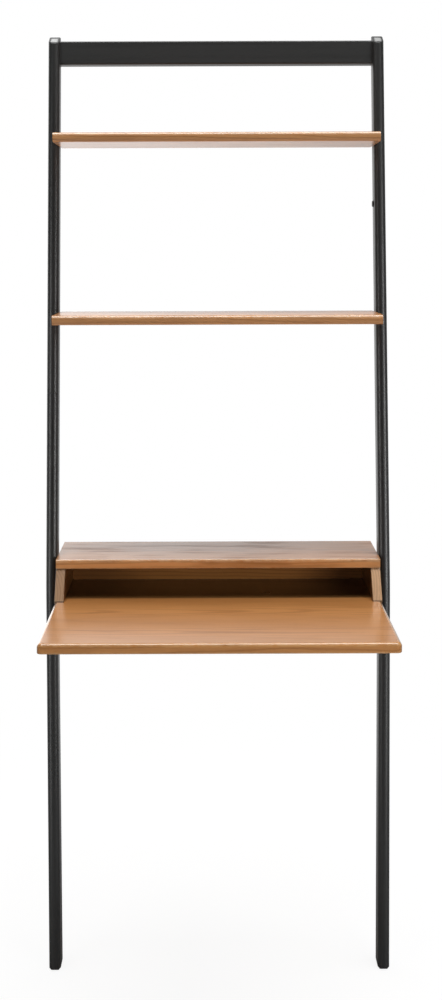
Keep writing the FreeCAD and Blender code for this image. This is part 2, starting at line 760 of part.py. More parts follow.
def hutch_back():
    """Cubby back panel, flush with the rear of the lid between the two cheeks."""
    body = new_body("hutch_back")
    outline = rectangle(f"{DESK_BACK} - Sizes.board_thickness", DESK_BACK, HOUSING_FLOOR, HUTCH_UNDERSIDE)
    sketch = polygon(body, "hutch_back_outline", "YZ_Plane", outline)
    pad(body, sketch, f"2 * {CHEEK_HALF}", midplane=True)
    middle = f"({DESK_BACK} - Sizes.board_thickness / 2)"
    cubby_holes(body, 1, middle)
    return body


def top_crossbar():
    """Bar between the rails' top ends, leaning with them: built square, then set at its lean."""
    body = new_body("top_crossbar")
    outline = rectangle("-Sizes.board_thickness / 2", "Sizes.board_thickness / 2",
                        "-Sizes.crossbar_height / 2", "Sizes.crossbar_height / 2")
    sketch = polygon(body, "top_crossbar_outline", "YZ_Plane", outline)
    pad(body, sketch, f"2 * {INNER_HALF}", midplane=True)
    soften_board(body, "Sizes.crossbar_arris")
    end_holes(body, [("0", f"({end} * Sizes.crossbar_pitch / 2)") for end in ENDS])
    y, z = crossbar_point("0", "0")
    set_leaning(body, "0", y, z)
    return body


def set_leaning(body, x, y, z):
    """Places a body that was built square at a point, leaning back with the upper rails."""
    body.Placement = FreeCAD.Placement(FreeCAD.Vector(), FreeCAD.Rotation(X_AXIS, -1))
    body.setExpression("Placement.Rotation.Angle", "-Sizes.upper_lean * 1 deg")
    for axis, place in zip("xyz", (x, y, z)):
        body.setExpression(f"Placement.Base.{axis}", place)
    doc.recompute()


top_crossbar()
shelf("shelf_upper")
shelf("shelf_lower")
desktop()
hutch_top()
for side_name, side_sign in SIDES.items():
    hutch_side(side_name, side_sign)
hutch_back()


# ---------------------------------------------------------------- steel plates and brackets

def desk_bracket(name, side):
    """Steel gusset: a side plate on the leg's inner face and a flange under the work surface."""
    body = new_body(f"desk_bracket_{name}")
    low = f"({DESK_UNDERSIDE} - Sizes.desk_bracket_height)"
    tip = f"({BRACKET_BACK} - Sizes.desk_bracket_reach)"
    plate = [
        (tip, DESK_UNDERSIDE),
        (tip, f"{DESK_UNDERSIDE} - Sizes.desk_bracket_tip"),
        (f"{BRACKET_BACK} - Sizes.desk_bracket_heel", low),
        (BRACKET_BACK, low),
        (BRACKET_BACK, DESK_UNDERSIDE),
    ]
    sketch = polygon(body, body.Name + "_plate", "YZ_Plane", plate,
                     f"{side} * ({INNER_HALF} - Sizes.plate_thickness / 2)")
    pad(body, sketch, "Sizes.plate_thickness", midplane=True)
    flange = rectangle(tip, BRACKET_BACK, f"{DESK_UNDERSIDE} - Sizes.plate_thickness", DESK_UNDERSIDE)
    sketch = polygon(body, body.Name + "_flange", "YZ_Plane", flange,
                     f"{side} * ({INNER_HALF} - Sizes.desk_bracket_flange / 2)")
    pad(body, sketch, "Sizes.desk_bracket_flange", midplane=True)
    for index, height in enumerate(BRACKET_SCREW_ROWS, start=1):
        start = f"-{INNER_HALF}" if side < 0 else f"{INNER_HALF} - Sizes.plate_thickness"
        bore_along_x(body, f"{body.Name}_hole_{index}", "Sizes.screw_radius + Sizes.screw_play",
                     "Sizes.plate_thickness", start, BRACKET_SCREW_Y, height)
    places = [place for place in BRACKET_UP if place[0].startswith(f"{side} ")]
    for index, (x, y) in enumerate(places, start=1):
        screw_hole(body, f"{body.Name}_up_hole_{index}", "Sizes.plate_thickness", x, y, PLATE_UNDERSIDE)
    return body


def wall_bracket(name, side):
    """Steel angle under the back of the work surface: its drop lies on the wall, with two holes."""
    body = new_body(f"wall_bracket_{name}")
    wall = "(Sizes.overall_depth / 2)"
    hold = f"({DESK_BACK} - Sizes.wall_bracket_hold)"
    low = f"({DESK_UNDERSIDE} - Sizes.wall_bracket_drop)"
    outline = [
        (hold, DESK_UNDERSIDE),
        (hold, f"{DESK_UNDERSIDE} - Sizes.plate_thickness"),
        (f"{wall} - Sizes.plate_thickness", f"{DESK_UNDERSIDE} - Sizes.plate_thickness"),
        (f"{wall} - Sizes.plate_thickness", low),
        (wall, low),
        (wall, DESK_UNDERSIDE),
    ]
    middle = f"{side} * Sizes.wall_bracket_place"
    sketch = polygon(body, body.Name + "_outline", "YZ_Plane", outline, middle)
    pad(body, sketch, "Sizes.wall_bracket_width", midplane=True)
    whole = body.Shape.BoundBox
    round_edges(body, body.Name + "_bend", "Sizes.wall_bracket_bend",
                lambda edge: edge.XLength > SHORT and edge.YMin > whole.YMax - TOUCH
                and edge.ZMin > whole.ZMax - TOUCH)
    for step in range(2):
        height = f"({low} + Sizes.wall_hole_margin + {step} * Sizes.wall_hole_pitch)"
        bore(body, f"{body.Name}_wall_hole_{step + 1}", "XZ_Plane", "Sizes.wall_hole_radius",
             "Sizes.plate_thickness", (middle, height, f"-{wall}"))
    places = [place for place in WALL_BRACKET_UP if place[0] == middle]
    for index, (x, y) in enumerate(places, start=1):
        screw_hole(body, f"{body.Name}_up_hole_{index}", "Sizes.plate_thickness", x, y, PLATE_UNDERSIDE)
    return body


# ---------------------------------------------------------------- pads and stud

def foot_glide(name, side):
    """Hard pad under a leg, a little smaller than the foot."""
    body = new_body(f"foot_glide_{name}")
    front = f"({FOOT_NOSE} + Sizes.glide_margin * 2)"
    back = f"({FOOT_NOSE} + Sizes.foot_depth - Sizes.glide_margin)"
    sketch = polygon(body, body.Name + "_outline", "YZ_Plane",
                     rectangle(front, back, "0", "Sizes.glide_thickness"), f"{side} * {RAIL_CENTRE}")
    pad(body, sketch, "Sizes.rail_thickness - 2 * Sizes.glide_margin", midplane=True)
    round_edges(body, body.Name + "_corner", "Sizes.pad_corner", lambda edge: edge.ZLength > SHORT)
    return body


def wall_bumper(name, side):
    """Soft pad between the flat at a rail's top and the wall."""
    body = new_body(f"wall_bumper_{name}")
    middle = f"(Sizes.overall_height - Sizes.wall_flat / {TAN_UPPER} / 2)"
    outline = rectangle(WALL_FACE, "Sizes.overall_depth / 2", f"{middle} - Sizes.bumper_height / 2",
                        f"{middle} + Sizes.bumper_height / 2")
    sketch = polygon(body, body.Name + "_outline", "YZ_Plane", outline, f"{side} * {RAIL_CENTRE}")
    pad(body, sketch, "Sizes.bumper_width", midplane=True)
    round_edges(body, body.Name + "_corner", "Sizes.pad_corner", lambda edge: edge.YLength > SHORT)
    return body


def rail_stud():
    """Round-headed stud on the right rail's inner face, on a pin driven into the rail."""
    body = turned("rail_stud", [
        ("0", "Sizes.stud_proud"),
        ("Sizes.stud_radius - Sizes.stud_bevel", "Sizes.stud_proud"),
        ("Sizes.stud_radius", "Sizes.stud_proud - Sizes.stud_bevel"),
        ("Sizes.stud_radius", "0"),
        ("Sizes.stud_pin_radius", "0"),
        ("Sizes.stud_pin_radius", "-Sizes.stud_pin_length"),
        ("0", "-Sizes.stud_pin_length"),
    ], is_piece=True)
    body.Placement = FreeCAD.Placement(FreeCAD.Vector(), FreeCAD.Rotation(Y_AXIS, -90))
    for axis, place in zip("xyz", (INNER_HALF, STUD_Y, STUD_HEIGHT)):
        body.setExpression(f"Placement.Base.{axis}", place)
    return body


for side_name, side_sign in SIDES.items():
    desk_bracket(side_name, side_sign)
    wall_bracket(side_name, side_sign)
    foot_glide(side_name, side_sign)
    wall_bumper(side_name, side_sign)
rail_stud()


# ---------------------------------------------------------------- fastener groups

def through_rails(rows):
    """Connector screws driven in from both rails' outer faces, heads outermost."""
    return [(f"{side} * ({HALF_WIDTH})", y, z, Y_AXIS, f"{side} * 90") for side in ENDS for y, z in rows]


def upward(places, height):
    """Screws driven straight up from a height."""
    return [(x, y, height, X_AXIS, "180") for x, y in places]


def outward(height):
    """Screws driven from the desk's middle through a bracket's side plate into each leg."""
    face = f"({INNER_HALF} - Sizes.plate_thickness)"
    return [(f"{side} * {face}", BRACKET_SCREW_Y, height, Y_AXIS, f"{-side} * 90") for side in ENDS]


copies("crossbar_connectors", connector, through_rails(CONNECTOR_ROWS["top_crossbar"]))
copies("shelf_upper_connectors", connector, through_rails(CONNECTOR_ROWS["shelf_upper"]))
copies("shelf_lower_connectors", connector, through_rails(CONNECTOR_ROWS["shelf_lower"]))
copies("desktop_connectors", connector, through_rails(CONNECTOR_ROWS["desktop"]))
copies("hutch_side_connectors", cheek_connector, through_rails([(CHEEK_CONNECTOR_Y, CHEEK_CONNECTOR_Z)]))
copies("hutch_dowels", board_dowel, [(x, y, HUTCH_UNDERSIDE, X_AXIS, "0") for x, y in BOARD_DOWELS])
copies("hutch_screws", cubby_screw, upward(UP_SCREWS, DESK_UNDERSIDE))
copies("rail_dowels", rail_dowel,
       [(f"{side} * {RAIL_CENTRE}", *seam_point(depth, "0"), X_AXIS, "-Sizes.upper_lean")
        for side in ENDS for depth in dowel_depths()])
copies("desk_bracket_screws", bracket_screw,
       upward(BRACKET_UP, PLATE_UNDERSIDE)
       + [place for height in BRACKET_SCREW_ROWS for place in outward(height)])
copies("wall_bracket_screws", bracket_screw, upward(WALL_BRACKET_UP, PLATE_UNDERSIDE))


# ---------------------------------------------------------------- checks and files

doc.recompute()
faults = [item.Name for item in doc.Objects if "Invalid" in item.State or "Error" in item.State]
faults += [piece.Label for piece in pieces if piece.Shape.isNull() or not piece.Shape.isValid()]
if faults:
    raise SystemExit("these did not build: " + ", ".join(faults))

os.makedirs("parts", exist_ok=True)
for piece in pieces:
    piece.Shape.exportStep(f"parts/{piece.Label}.step")
print(f"{len(pieces)} sub-parts written")
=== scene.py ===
"""Finishes, light and camera for the ladder desk: charcoal-stained rails, honey walnut boards,
zinc and powder-coated steel, moulded pads, on a white sweep under an overhead softbox, with
strip lamps at both sides for the stained wood."""
import math

import bmesh
import bpy
from mathutils import Matrix, Vector


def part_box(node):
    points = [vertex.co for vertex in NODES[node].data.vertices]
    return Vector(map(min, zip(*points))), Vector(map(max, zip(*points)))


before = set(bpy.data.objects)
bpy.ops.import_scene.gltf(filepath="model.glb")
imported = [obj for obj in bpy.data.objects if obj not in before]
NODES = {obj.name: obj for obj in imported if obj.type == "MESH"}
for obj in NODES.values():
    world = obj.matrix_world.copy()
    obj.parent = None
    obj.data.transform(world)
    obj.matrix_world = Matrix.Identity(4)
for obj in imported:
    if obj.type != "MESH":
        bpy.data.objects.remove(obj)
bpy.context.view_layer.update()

MM = 0.001


# ---------------------------------------------------------------- shader maths

# Sockets of the Mix node for colours, which share their names with those for numbers.
MIX_SHARE, MIX_FIRST, MIX_SECOND, MIX_RESULT = 0, 6, 7, 2


class Value:
    """An output socket on which Python arithmetic adds Math nodes."""

    def __init__(self, tree, socket):
        self.tree = tree
        self.socket = socket

    def __add__(self, other):
        return self.tree.maths("ADD", self, other)

    def __radd__(self, other):
        return self.tree.maths("ADD", other, self)

    def __sub__(self, other):
        return self.tree.maths("SUBTRACT", self, other)

    def __rsub__(self, other):
        return self.tree.maths("SUBTRACT", other, self)

    def __mul__(self, other):
        return self.tree.maths("MULTIPLY", self, other)

    def __rmul__(self, other):
        return self.tree.maths("MULTIPLY", other, self)

    def __truediv__(self, other):
        return self.tree.maths("DIVIDE", self, other)


class Tree:
    """The node tree of one material or of the world, cleared and ready to build."""

    def __init__(self, owner, target):
        owner.use_nodes = True
        self.nodes = owner.node_tree.nodes
        self.links = owner.node_tree.links
        self.nodes.clear()
        self.output = self.nodes.new(target)

    def add(self, kind, settings=None, sockets=None, output=0):
        """A node of a kind, its settings first, then its sockets' values or links."""
        node = self.nodes.new("ShaderNode" + kind)
        for name, value in (settings or {}).items():
            setattr(node, name, value)
        for name, value in (sockets or {}).items():
            if isinstance(value, Value):
                self.links.new(value.socket, node.inputs[name])
            else:
                node.inputs[name].default_value = value
        return Value(self, node.outputs[output])

    def maths(self, operation, *values):
        return self.add("Math", {"operation": operation}, dict(enumerate(values)))

    def coordinates(self):
        """The Object coordinates in metres, by axis."""
        place = self.add("TexCoord", output="Object")
        return {axis: self.add("SeparateXYZ", sockets={"Vector": place}, output=axis)
                for axis in "XYZ"}

    def vector(self, x, y, z):
        return self.add("CombineXYZ", sockets={"X": x, "Y": y, "Z": z})

    def noise(self, x, y, z, detail, scale=1.0):
        return self.add("TexNoise", sockets={
            "Vector": self.vector(x, y, z), "Scale": scale, "Detail": detail})

    def grain_noise(self, grain, character, shift):
        """Noise drawn out along the grain, the first of its three axes.

        character holds the rate along the grain, the rate across it, both per metre, and the
        detail. shift moves the pattern on each axis.
        """
        along_rate, across_rate, detail = character
        scaled = (grain[0] * along_rate, grain[1] * across_rate, grain[2] * across_rate)
        moved = (part + move if move else part for part, move in zip(scaled, shift))
        return self.noise(*moved, detail)

    def step(self, value, low, high):
        """0 below low, 1 above high and smooth between them."""
        return self.add("MapRange", {"interpolation_type": "SMOOTHSTEP"}, {
            "Value": value, "From Min": low, "From Max": high})

    def fade(self, value, low, high):
        """1 below low, 0 above high and smooth between them."""
        return 1.0 - self.step(value, low, high)

    def mix(self, share, first, second, blend="MIX"):
        return self.add("Mix", {"data_type": "RGBA", "blend_type": blend}, {
            MIX_SHARE: share, MIX_FIRST: opaque(first), MIX_SECOND: opaque(second)}, MIX_RESULT)

    def bump(self, height, distance):
        return self.add("Bump", sockets={"Height": height, "Distance": distance})

    def mix_shaders(self, share, first, second):
        return self.add("MixShader", sockets={0: share, 1: first, 2: second})

    def principled(self, colour, roughness, normal, extra=None):
        """Ends the tree in a Principled surface, with further sockets by name in extra."""
        sockets = {"Base Color": colour, "Roughness": roughness, "Normal": normal}
        self.surface(self.add("BsdfPrincipled", sockets={**sockets, **(extra or {})}))

    def surface(self, shader):
        self.links.new(shader.socket, self.output.inputs["Surface"])


def opaque(colour):
    return colour if isinstance(colour, Value) else (*colour, 1.0)


def new_finish(name):
    material = bpy.data.materials.new(name)
    return material, Tree(material, "ShaderNodeOutputMaterial")


def finish_node(node, material):
    """Gives every material slot of a CAD node one finish."""
    mesh = NODES[node].data
    if not mesh.materials:
        mesh.materials.append(material)
    for index in range(len(mesh.materials)):
        mesh.materials[index] = material


# ---------------------------------------------------------------- walnut

HONEY = (0.575, 0.252, 0.080)
AMBER = (0.445, 0.178, 0.050)
UMBER = (0.215, 0.074, 0.018)
# Paler colour on the rounded edges: partly real wear, partly a painted highlight on the arrises.
PALE_WEAR_AND_SHEEN = (0.640, 0.400, 0.200)

# Character of each noise in the figure: rate along the grain, rate across it and detail.
DRIFT = (1.1, 3.0, 3.0)
RIPPLE = (5.0, 34.0, 4.0)
PATCHES = (2.2, 16.0, 2.0)
FIBRES = (14.0, 620.0, 3.0)
FLECKS = (90.0, 2100.0, 1.0)
SMOKE = (6.5, 40.0, 3.0)
SCUFF_RATE = 60.0
CLOUD_RATE = 7.0

# The veneer's leaves are cut from a log whose heart lies below the face, nearer one side.
LEAF_WIDTH = 0.182
LEAF_START = -0.010
HEART_DEPTH = 0.055
HEART_NEAREST = 0.30
HEART_SPREAD = 0.35
HEART_RISE = 0.030
RING_RATE = 190.0
RING_RIPPLE = 1.5
WANDER_REACH = 0.036
SMOKE_WANDER = 60.0

# Where each noise or wave begins to show and where it shows in full.
LATE_WOOD = (0.55, 1.0)
PORED_WOOD = (0.15, 0.75)
PORES = (0.64, 0.74)
FLAMES = (0.48, 0.68)
PATCH_SPREAD = (0.28, 0.78)
SCUFFS = (0.25, 0.62)

WEAR_CORE = 0.42
CALM_FIGURE = 0.30
SMOKY_FIGURE = 0.85
LACQUER = 0.28
LACQUER_ROUGHNESS = 0.16
LACQUER_IOR = 1.47
SATIN = 0.25
GRAIN_RELIEF = 0.05 * MM


def growth_rings(tree, grain, wander, seed):
    """The chance value of each leaf, and the rings as a wave between 0 and 1."""
    along, across, through = grain
    leaf = tree.maths("FLOOR", (across - LEAF_START) / LEAF_WIDTH)
    chance = tree.add("TexWhiteNoise", {"noise_dimensions": "1D"}, {"W": leaf + seed}, "Value")
    heart = LEAF_WIDTH * (HEART_NEAREST + HEART_SPREAD * chance)
    centre = across + wander - leaf * LEAF_WIDTH - heart
    depth = HEART_DEPTH + along * (HEART_RISE - 2.0 * HEART_RISE * chance) + through
    radius = tree.maths("SQRT", centre * centre + depth * depth)
    ripple = tree.grain_noise(grain, RIPPLE, (seed, 0.0, 0.0))
    turns = radius * RING_RATE + ripple * RING_RIPPLE
    return chance, 0.5 + 0.5 * tree.maths("SINE", turns * 2.0 * math.pi)


def edge_wear(tree, place, arrises):
    """1 along each edge where two of the board's faces meet, fading out over its width."""
    wear = 0.0
    for (first, at_first), (second, at_second), width in arrises:
        gap_a = place[first] - at_first
        gap_b = place[second] - at_second
        gap = tree.maths("SQRT", gap_a * gap_a + gap_b * gap_b)
        wear = tree.maths("MAXIMUM", wear, tree.fade(gap, WEAR_CORE * width, width))
    return wear


def walnut(name, order, origin, arrises, seed, tints=(), smoky=CALM_FIGURE):
    """Satin-lacquered walnut veneer.

    order names the axes along, across and through the grain, origin is the board's face
    corner on them, and arrises are the (axis, place), (axis, place), width of each softened
    edge. tints are (mask, colour): where the mask is 1, its colour multiplies the wood's.
    smoky is the strength of the dark, duller flames in the figure.
    """
    material, tree = new_finish(name)
    place = tree.coordinates()
    grain = [place[axis] - start for axis, start in zip(order, origin)]
    wander = (tree.grain_noise(grain, DRIFT, (seed, 0.0, 0.0)) - 0.5) * WANDER_REACH
    chance, ring = growth_rings(tree, grain, wander, seed)
    late = tree.step(ring, *LATE_WOOD)
    patch = tree.grain_noise(grain, PATCHES, (0.0, seed, 0.0))
    fibre = tree.grain_noise(grain, FIBRES, (0.0, 0.0, seed))
    fleck = tree.grain_noise(grain, FLECKS, (seed, 0.0, 0.0))
    pore = tree.step(fleck, *PORES) * tree.step(ring, *PORED_WOOD)
    smoke = tree.grain_noise(grain, SMOKE, (seed, wander * SMOKE_WANDER, 0.0))
    flame = tree.step(smoke, *FLAMES) * smoky

    tone = tree.step(patch, *PATCH_SPREAD) * 0.42 + late * 0.34 + (fibre - 0.5) * 0.55
    colour = tree.mix(tree.step(tone, 0.0, 1.0), HONEY, AMBER)
    for share, stain in ((late * patch * 0.42, UMBER), (pore * 0.45, UMBER),
                         ((chance - 0.5) * 0.10 + 0.05, AMBER), (flame * 0.55, UMBER)):
        colour = tree.mix(share, colour, stain)

    wear = edge_wear(tree, place, arrises)
    scuff = tree.noise(*place.values(), detail=4.0, scale=SCUFF_RATE)
    # Pale edges: partly real wear, partly a painted highlight along the rounded arrises.
    wear_and_sheen = wear * tree.step(scuff, *SCUFFS)
    colour = tree.mix(wear_and_sheen * 0.45, colour, PALE_WEAR_AND_SHEEN)
    for mask, tint in tints:
        colour = tree.mix(mask(tree, place), colour, tint, blend="MULTIPLY")

    x, y, z = (part * CLOUD_RATE for part in place.values())
    cloud = tree.noise(x, y, z + seed, detail=3.0)
    gloss = SATIN + cloud * 0.09 + pore * 0.12 + flame * 0.08 - wear * 0.06
    relief = 0.45 * ring + 0.35 * fibre - 0.25 * pore
    tree.principled(colour, gloss, tree.bump(relief, GRAIN_RELIEF), {
        "IOR": LACQUER_IOR, "Coat Roughness": LACQUER_ROUGHNESS,
        "Coat Weight": LACQUER - flame * LACQUER + wear * (1.0 - LACQUER)})
    return material


# ---------------------------------------------------------------- tints of the boards

# Each multiplies the wood's colour where its mask is 1.
DESK_TONE = (1.05, 1.07, 1.06)
# Painted shade over the whole back panel, which stands deep in the cubby.
BACK_PAINTED_SHADE = (0.85, 0.82, 0.70)
# Painted shade inside the cubby, on the lid's underside and the cheeks' inner faces.
INTERIOR_PAINTED_SHADE = (0.40, 0.38, 0.36)
# Painted shade on the work surface under the cubby's lid.
DEEP_SHADE = (0.24, 0.26, 0.27)
CORNER_SHADE = (0.70, 0.68, 0.74)
# Painted sheen on the front edges: the shelves' edges painted paler, the lid's also brighter, as
# painted light.
SHELF_EDGE_SHEEN = (1.08, 1.22, 1.60)
LID_EDGE_SHEEN = (1.30, 1.42, 1.66)
JOINT_LINE = (0.30, 0.28, 0.26)
# Darker ends of the work surface: partly end grain, partly painted shade.
END_GRAIN_AND_SHADE = (0.50, 0.50, 0.52)
# Painted sheen on the cheeks' raked front edges; the right one is painted brighter, as painted
# light from the right.
RAKED_EDGE_SHEEN = {"left": (0.70, 0.94, 1.55), "right": (1.06, 1.48, 2.50)}

DESK_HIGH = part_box("desktop")[1]
LID_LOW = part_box("hutch_top")[0]
CHEEK_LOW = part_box("hutch_side_right")[0]
LID_OVER_RAKE = 3.0 * MM
# Where the painted shade at the back panel's ends begins and where it is full, from the middle.
BACK_CLEAR, BACK_SHADED = 0.10, 0.26


def off_centre(tree, place):
    """Distance from the desk's middle plane."""
    return tree.maths("ABSOLUTE", place["X"])


def everywhere(tree, place):
    return 1.0


def under_lid(tree, place):
    """The part of the work surface that the cubby's lid covers, where the lid's shade is painted
    into the colour.
    """
    covered = tree.step(place["Y"], LID_LOW.y - 13.0 * MM, LID_LOW.y + 1.0 * MM)
    return covered * tree.step(place["Z"], DESK_HIGH.z - 2.6 * MM, DESK_HIGH.z - 0.2 * MM)


def end_grain_and_shade(tree, place):
    """The work surface's bare ends: partly end grain, which takes the stain darker, and partly
    painted shade on ends turned from the light.
    """
    outward = off_centre(tree, place)
    return tree.step(outward, DESK_HIGH.x - 2.4 * MM, DESK_HIGH.x - 0.4 * MM)


# Painted shade on the lid's underside, inside the cubby.
def lid_underside(tree, place):
    return tree.fade(place["Z"], LID_LOW.z + 0.2 * MM, LID_LOW.z + 2.0 * MM)


# Painted shade on a cheek's inner face, inside the cubby.
def cheek_inside(tree, place):
    outward = off_centre(tree, place)
    return tree.fade(outward, CHEEK_LOW.x + 0.2 * MM, CHEEK_LOW.x + 1.4 * MM)


def raked_edge(tree, place):
    """The slanting front edge of a cheek, from its toe up to the lid, where painted sheen is added.
    """
    rise = LID_LOW.z - DESK_HIGH.z
    run = LID_LOW.y + LID_OVER_RAKE - CHEEK_LOW.y
    steep = math.hypot(rise, run)
    back = (place["Y"] - CHEEK_LOW.y) * (rise / steep)
    behind = back - (place["Z"] - DESK_HIGH.z) * (run / steep)
    return tree.fade(behind, 0.8 * MM, 2.2 * MM)


def cheek_foot(tree, place):
    """The dark line of the joint where a cheek stands on the work surface."""
    return tree.fade(place["Z"], DESK_HIGH.z + 1.4 * MM, DESK_HIGH.z + 2.8 * MM)


def near_cheeks(tree, place):
    """The ends of the cubby's back panel, where the cheeks' shade is painted into the colour."""
    return tree.step(off_centre(tree, place), BACK_CLEAR, BACK_SHADED)


def front_edge_sheen(board):
    """A mask for a board's front edge, where painted sheen and light are added to the colour."""
    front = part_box(board)[0].y

    def edge_sheen_mask(tree, place):
        return tree.fade(place["Y"], front + 2.0 * MM, front + 6.0 * MM)

    return edge_sheen_mask


# ---------------------------------------------------------------- the boards

WELL_ROUNDED = 7.5 * MM
BARELY_ROUNDED = 3.6 * MM
CHEEK_GRAIN_START = 60.0 * MM
BACK_GRAIN_START = 50.0 * MM
CHEEK_SEED = 17.0
BACK_SEED = 23.1

# Each board's seed, its figure's strength and its tints.
BOARDS = {
    "desktop": (1.3, CALM_FIGURE, [(everywhere, DESK_TONE), (under_lid, DEEP_SHADE),
                                   (end_grain_and_shade, END_GRAIN_AND_SHADE)]),
    "hutch_top": (5.0, SMOKY_FIGURE, [(lid_underside, INTERIOR_PAINTED_SHADE),
                                      (front_edge_sheen("hutch_top"), LID_EDGE_SHEEN)]),
    "shelf_lower": (8.7, CALM_FIGURE, [(front_edge_sheen("shelf_lower"), SHELF_EDGE_SHEEN)]),
    "shelf_upper": (12.4, CALM_FIGURE, [(front_edge_sheen("shelf_upper"), SHELF_EDGE_SHEEN)]),
}


def long_arrises(low, high, front=WELL_ROUNDED):
    """The four edges of a board that run across the desk, the upper front one with its width."""
    arrises = [(("Y", y), ("Z", z), BARELY_ROUNDED)
               for y in (low.y, high.y) for z in (low.z, high.z)]
    return arrises + [(("Y", low.y), ("Z", high.z), front)]


def end_arrises(low, high, width):
    """The two upper edges at a board's ends."""
    return [(("X", x), ("Z", high.z), width) for x in (low.x, high.x)]


for board, (seed, smoky, tints) in BOARDS.items():
    low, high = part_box(board)
    arrises = long_arrises(low, high)
    if board == "desktop":
        arrises += end_arrises(low, high, WELL_ROUNDED)
    finish_node(board, walnut(f"honey_walnut_{board}", "XYZ", (0.0, low.y, high.z), arrises,
                              seed, tints, smoky))

for side, tone in RAKED_EDGE_SHEEN.items():
    low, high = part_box(f"hutch_side_{side}")
    finish_node(f"hutch_side_{side}", walnut(
        f"honey_walnut_cheek_{side}", "YZX", (0.0, low.z - CHEEK_GRAIN_START, low.x),
        end_arrises(low, high, BARELY_ROUNDED), CHEEK_SEED + low.x,
        [(cheek_inside, INTERIOR_PAINTED_SHADE), (raked_edge, tone), (cheek_foot, JOINT_LINE)]))

low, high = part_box("hutch_back")
finish_node("hutch_back", walnut(
    "honey_walnut_back", "XZY", (0.0, low.z - BACK_GRAIN_START, low.y),
    long_arrises(low, high, BARELY_ROUNDED), BACK_SEED,
    [(everywhere, BACK_PAINTED_SHADE), (near_cheeks, CORNER_SHADE)]))


# ---------------------------------------------------------------- charcoal rails and bar

CHARCOAL = (0.0112, 0.0115, 0.0115)
SOOT = (0.0055, 0.0055, 0.0055)
ASH_LINE = (0.0230, 0.0235, 0.0230)
# Pale colour painted on the rails' crowns: a painted highlight.
CROWN_HIGHLIGHT = (0.300, 0.305, 0.300)

# Character of each noise in the stain: rate along the grain, rate across it and detail.
STAIN_DRIFT = (1.6, 9.0, 2.0)
STAIN_BANDS = (2.4, 120.0, 4.0)
STAIN_FIBRES = (16.0, 900.0, 3.0)
STAIN_FLECKS = (70.0, 2400.0, 1.0)
BAND_WANDER = 3.0

# Where the pores and the paler streaks begin to show and where they show in full.
STAIN_PORES = (0.60, 0.72)
STAIN_STREAKS = (0.34, 0.68)

STAIN_COAT = 0.15
STAIN_COAT_ROUGHNESS = 0.28
STAIN_IOR = 1.48
STAIN_ROUGHNESS = 0.37
STAIN_RELIEF = 0.035 * MM
CROSSBAR_ASH = 0.20
UPPER_SEED, LEG_SEED, CROSSBAR_SEED = 5.0, 9.0, 13.0

UPPER_LEAN = math.tan(math.radians(8.75))
LEG_LEAN = math.tan(math.radians(1.5))

# The patch of painted highlight on a rail's top fades over these distances: sideways from the
# rail's middle, forwards from the rail's back, and down from the plane of the top.
CROWN_SLOPE = 0.486
CROWN_START = 3.6 * MM
CROWN_SIDES = (4.5 * MM, 8.0 * MM)
CROWN_BACK_RIM = (8.0 * MM, 14.0 * MM)
CROWN_FRONT_RIM = (26.0 * MM, 30.0 * MM)
CROWN_FACE = (-1.8 * MM, -0.8 * MM)
RAIL_LOW, RAIL_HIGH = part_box("upper_rail_right")
RAIL_MIDDLE = (RAIL_LOW.x + RAIL_HIGH.x) / 2.0


def crown_highlight_patch(tree, place):
    """The sloping top of a rail inside its rim: smoother and glossier, with a pale painted
    highlight.
    """
    sideways = tree.maths("ABSOLUTE", off_centre(tree, place) - RAIL_MIDDLE)
    forwards = RAIL_HIGH.y - place["Y"]
    above = place["Z"] - RAIL_HIGH.z + (forwards - CROWN_START) * CROWN_SLOPE
    inside = tree.fade(sideways, *CROWN_SIDES) * tree.step(forwards, *CROWN_BACK_RIM)
    return inside * tree.fade(forwards, *CROWN_FRONT_RIM) * tree.step(above, *CROWN_FACE)


def charcoal_stain(name, order, lean, seed, ashy=0.0, wear_and_sheen=None):
    """Satin charcoal stain on straight-grained wood, its grain along the first axis of order.

    lean is the grain's slope towards the second axis, ashy widens the paler streaks, and
    wear_and_sheen is the mask of a part made smoother and glossier, with a painted highlight on it.
    """
    material, tree = new_finish(name)
    place = tree.coordinates()
    along, across, through = (place[axis] for axis in order)
    grain = (along, across - along * lean, through)
    drift = tree.grain_noise(grain, STAIN_DRIFT, (seed, 0.0, 0.0))
    band = tree.grain_noise(grain, STAIN_BANDS, (seed, drift * BAND_WANDER, 0.0))
    fibre = tree.grain_noise(grain, STAIN_FIBRES, (seed, 0.0, 0.0))
    fleck = tree.grain_noise(grain, STAIN_FLECKS, (0.0, seed, 0.0))
    pore = tree.step(fleck, *STAIN_PORES)
    pale = tree.step(band * 0.7 + fibre * 0.3 + ashy, *STAIN_STREAKS)
    colour = tree.mix(pore * 0.7, tree.mix(pale, CHARCOAL, ASH_LINE), SOOT)
    sheen_patch = wear_and_sheen(tree, place) if wear_and_sheen else 0.0
    # Painted highlight: the crown patch is painted pale.
    colour = tree.mix(sheen_patch, colour, CROWN_HIGHLIGHT)
    gloss = STAIN_ROUGHNESS + 0.10 * band + 0.08 * pore - sheen_patch * 0.16
    relief = 0.5 * band + 0.4 * fibre - 0.25 * pore
    tree.principled(colour, gloss, tree.bump(relief, STAIN_RELIEF), {
        "IOR": STAIN_IOR, "Coat Roughness": STAIN_COAT_ROUGHNESS,
        "Coat Weight": STAIN_COAT + sheen_patch * (1.0 - STAIN_COAT)})
    return material


